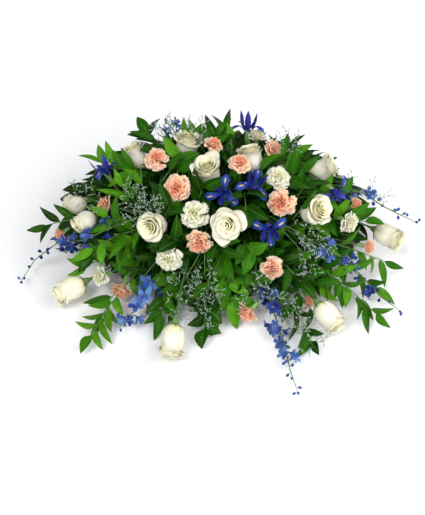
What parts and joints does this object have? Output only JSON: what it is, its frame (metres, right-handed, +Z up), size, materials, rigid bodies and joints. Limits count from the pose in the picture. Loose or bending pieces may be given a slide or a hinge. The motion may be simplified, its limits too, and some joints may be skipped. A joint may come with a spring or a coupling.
{
  "type": "casket spray",
  "caption": "Low casket spray of cream roses, peach and white carnations, blue irises, delphinium and sea lavender among glossy ruscus leaves, set in floral foam in a tray.",
  "frame": {"origin": "middle of the tray's flat underside, on the surface that the spray stands on", "axes": "+X along the spray to its right, -Y to its front, +Z up"},
  "size_m": [0.905, 0.7477, 0.3213],
  "materials": {
    "rose_petals": "cream-white petals, matt with a faint sheen",
    "white_carnation_petals": "matt white petals",
    "peach_carnation_petals": "matt peach petals with paler rims",
    "iris_petals": "velvety blue petals with yellow signals",
    "delphinium_petals": "satin blue florets and dark buds",
    "sea_lavender_petals": "dry and papery, pale grey-green",
    "foliage": "waxy green leaves and stems",
    "foam": "wet, open-celled floral foam",
    "tray_plastic": "moulded dark green plastic"
  },
  "bodies": {
    "root": {"tray": "tray_plastic", "floral_foam": "foam", "greens_left": "foliage", "greens_right": "foliage", "greens_front": "foliage", "greens_back": "foliage", "rose_1": "rose_petals", "rose_2": "rose_petals", "rose_3": "rose_petals", "rose_4": "rose_petals", "rose_5": "rose_petals", "rose_6": "rose_petals", "rose_7": "rose_petals", "rose_8": "rose_petals", "rose_9": "rose_petals", "rose_10": "rose_petals", "rose_11": "rose_petals", "rose_12": "rose_petals", "rose_13": "rose_petals", "rose_14": "rose_petals", "rose_15": "rose_petals", "carnation_white_1": "white_carnation_petals", "carnation_white_2": "white_carnation_petals", "carnation_white_3": "white_carnation_petals", "carnation_white_4": "white_carnation_petals", "carnation_white_5": "white_carnation_petals", "carnation_white_6": "white_carnation_petals", "carnation_peach_1": "peach_carnation_petals", "carnation_peach_2": "peach_carnation_petals", "carnation_peach_3": "peach_carnation_petals", "carnation_peach_4": "peach_carnation_petals", "carnation_peach_5": "peach_carnation_petals", "carnation_peach_6": "peach_carnation_petals", "carnation_peach_7": "peach_carnation_petals", "carnation_peach_8": "peach_carnation_petals", "carnation_peach_9": "peach_carnation_petals", "carnation_peach_10": "peach_carnation_petals", "carnation_peach_11": "peach_carnation_petals", "carnation_peach_12": "peach_carnation_petals", "carnation_peach_13": "peach_carnation_petals", "carnation_peach_14": "peach_carnation_petals", "carnation_peach_15": "peach_carnation_petals", "carnation_peach_16": "peach_carnation_petals", "iris_1": "iris_petals", "iris_2": "iris_petals", "iris_3": "iris_petals", "iris_4": "iris_petals", "iris_5": "iris_petals", "iris_6": "iris_petals", "delphinium_left": "delphinium_petals", "delphinium_front_left": "delphinium_petals", "delphinium_front": "delphinium_petals", "delphinium_right": "delphinium_petals", "delphinium_far_right": "delphinium_petals", "delphinium_top": "delphinium_petals", "sea_lavender_left": "sea_lavender_petals", "sea_lavender_front_left": "sea_lavender_petals", "sea_lavender_front": "sea_lavender_petals", "sea_lavender_right": "sea_lavender_petals", "sea_lavender_top": "sea_lavender_petals"}
  },
  "joints": []
}
